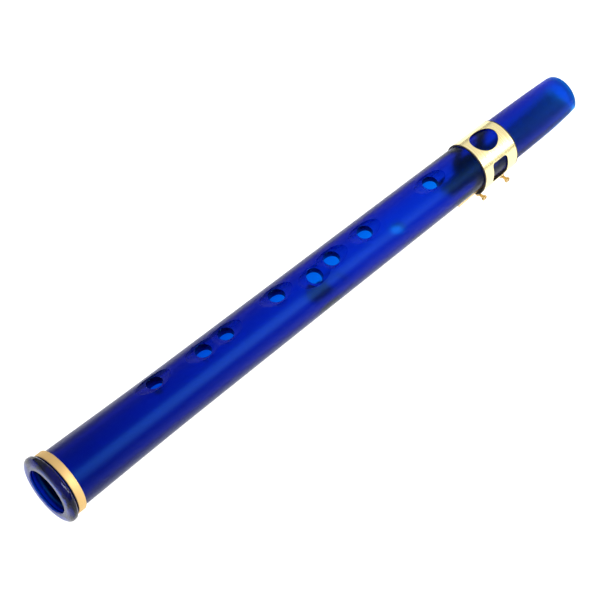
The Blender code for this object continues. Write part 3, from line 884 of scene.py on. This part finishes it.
def make_ligature():
    make_ligature_band()
    for end, x in LUG_STATIONS.items():
        make_lug(f"plain_lug_{end}", f"screw_post_{end}", x, -LUG_Y)
        make_lug(f"threaded_lug_{end}", f"thread_post_{end}", x, LUG_Y)
        make_thumbscrew(f"thumbscrew_{end}", f"ligature_screw_{end}", x, f"{end}_screw")


# ---------------------------------------------------------------- strap holder

def make_strap_plate():
    """A plate curved to the tube, with a bored lug across its middle."""
    middle = (sum(PLATE_X) / 2, 0, -PLATE_OUTER)
    on_axis = (STRAP_PIVOT_X, 0, 0)
    pivot = (STRAP_PIVOT_X, 0, STRAP_PIVOT_Z)
    size = (PLATE_X[1] - PLATE_X[0], PLATE_WIDTH, PLATE_BLANK)
    plate = rounded_box("strap_foot", size, PLATE_CORNER, 2, middle)
    cut(plate, rod("outside", PLATE_OUTER, 0.03, (1, 0, 0), on_axis, 256), operation="INTERSECT")
    cut(plate, rod("lug", STRAP_LUG_RADIUS, STRAP_LUG_WIDTH, (0, 1, 0), pivot, 48), operation="UNION")
    bore = rod("bore", STRAP_WIRE + STRAP_CLEARANCE, 0.02, (0, 1, 0), pivot, 32)
    inside = rod("inside", PLATE_INNER - STRAP_CLEARANCE, 0.04, (1, 0, 0), on_axis, 256)
    cut(plate, bore, inside)
    soften(plate, PLATE_EDGE)
    dress(plate, NICKEL, "tube", "nickel", "strap_plate")


def make_strap_screw(name, node, x):
    """Domed head with a slot, seated on the plate."""
    base = PLATE_OUTER
    end = base - STRAP_SCREW_REACH
    top = base + STRAP_SCREW_DOME
    profile = [(end, 0.0), (end, STRAP_SCREW_SHANK), (base, STRAP_SCREW_SHANK), (base, STRAP_SCREW_HEAD)]
    profile += [(base + STRAP_SCREW_DOME * math.sin(a), STRAP_SCREW_HEAD * math.cos(a))
                for a in np.linspace(0, math.pi / 2, 10)[1:-1]]
    profile.append((top, 0.0))
    screw = put(revolve(name, profile, 48), (x, 0, 0), upright((0, 0, -1)))
    cut(screw, rounded_box("slot", STRAP_SCREW_SLOT, SLOT_CORNER, 1, (x, 0, -top)))
    dress(screw, NICKEL, "tube", "nickel", node)


def make_strap_ring():
    """A wire bent to a rounded rectangle, with the pivot in the middle of one end."""
    corner = STRAP_RING_CORNER
    side = STRAP_RING_HALF_WIDTH - corner
    far = STRAP_RING_LENGTH - corner
    centres = [(far, side, 0), (corner, side, 90), (corner, -side, 180), (far, -side, 270)]
    route = []
    for x, y, start in centres:
        for angle in np.radians(start + np.linspace(0, 90, 14)):
            route.append(Vector((x + corner * math.cos(angle), y + corner * math.sin(angle), 0)))
    bm = bmesh.new()
    count, sides = len(route), 20
    rings = []
    for i, point in enumerate(route):
        along = (route[(i + 1) % count] - route[i - 1]).normalized()
        across = along.cross(Vector((0, 0, 1)))
        turns = np.linspace(0, 2 * math.pi, sides, endpoint=False)
        rings.append([bm.verts.new(point + STRAP_WIRE * (across * math.cos(a) + Vector((0, 0, math.sin(a)))))
                      for a in turns])
    for i in range(count):
        ring, following = rings[i], rings[(i + 1) % count]
        for j in range(sides):
            k = (j + 1) % sides
            bm.faces.new((ring[j], ring[k], following[k], following[j]))
    loop = put(finish_mesh("strap_loop", bm), (STRAP_PIVOT_X, 0, STRAP_PIVOT_Z))
    dress(loop, NICKEL, "ring", "nickel", "strap_ring")


def make_strap_holder():
    make_strap_plate()
    for end, x in STRAP_SCREWS.items():
        make_strap_screw(f"strap_fixing_{end}", f"strap_screw_{end}", x)
    make_strap_ring()


# ---------------------------------------------------------------- stage

def make_floor():
    bm = bmesh.new()
    bmesh.ops.create_circle(bm, cap_ends=True, segments=96, radius=FLOOR_RADIUS)
    floor = bpy.data.objects.new("floor", finish_mesh("floor", bm))
    floor.location = (0, 0, FLOOR_Z)
    bpy.context.scene.collection.objects.link(floor)
    material, shader = new_material("floor")
    shader.inputs["Base Color"].default_value = (0.25, 0.25, 0.25, 1)
    shader.inputs["Roughness"].default_value = 0.7
    shader.inputs["Emission Color"].default_value = (1, 1, 1, 1)
    shader.inputs["Emission Strength"].default_value = 1.15
    floor.data.materials.append(material)


def make_light():
    """One soft panel that faces the instrument from its near side."""
    data = bpy.data.lights.new("side", "AREA")
    data.shape = "RECTANGLE"
    data.size, data.size_y = LAMP_SIZE
    data.energy = LAMP_POWER
    lamp = bpy.data.objects.new("side", data)
    lamp.location = LAMP_PLACE
    lamp.rotation_mode = "QUATERNION"
    lamp.rotation_quaternion = (-Vector(LAMP_PLACE)).to_track_quat("-Z", "Y")
    bpy.context.scene.collection.objects.link(lamp)


def make_world():
    """Bright above, dimmer at the horizon."""
    world = bpy.data.worlds.new("studio")
    world.use_nodes = True
    nodes, links = world.node_tree.nodes, world.node_tree.links
    coordinates = nodes.new("ShaderNodeTexCoord")
    split = nodes.new("ShaderNodeSeparateXYZ")
    shade = nodes.new("ShaderNodeValToRGB")
    set_stops(shade, [(position, (level, level, level)) for position, level in SKY])
    links.new(coordinates.outputs["Generated"], split.inputs["Vector"])
    links.new(split.outputs["Z"], shade.inputs["Fac"])
    links.new(shade.outputs["Color"], nodes["Background"].inputs["Color"])
    nodes["Background"].inputs["Strength"].default_value = 1.0
    bpy.context.scene.world = world


def make_camera():
    camera = bpy.data.objects.new("camera", bpy.data.cameras.new("camera"))
    camera.data.lens = CAMERA_LENS
    camera.data.sensor_width = SENSOR_WIDTH
    camera.location = ORIGIN + CAMERA_FROM
    camera.rotation_mode = "QUATERNION"
    camera.rotation_quaternion = (CAMERA_AT - CAMERA_FROM).to_track_quat("-Z", "Y")
    bpy.context.scene.collection.objects.link(camera)
    bpy.context.scene.camera = camera


make_camera()
make_floor()
make_light()
make_world()
make_tube()
make_bell_ring()
make_bell_band()
make_reed()
make_ligature()
make_strap_holder()
bpy.context.scene.view_settings.view_transform = "Standard"
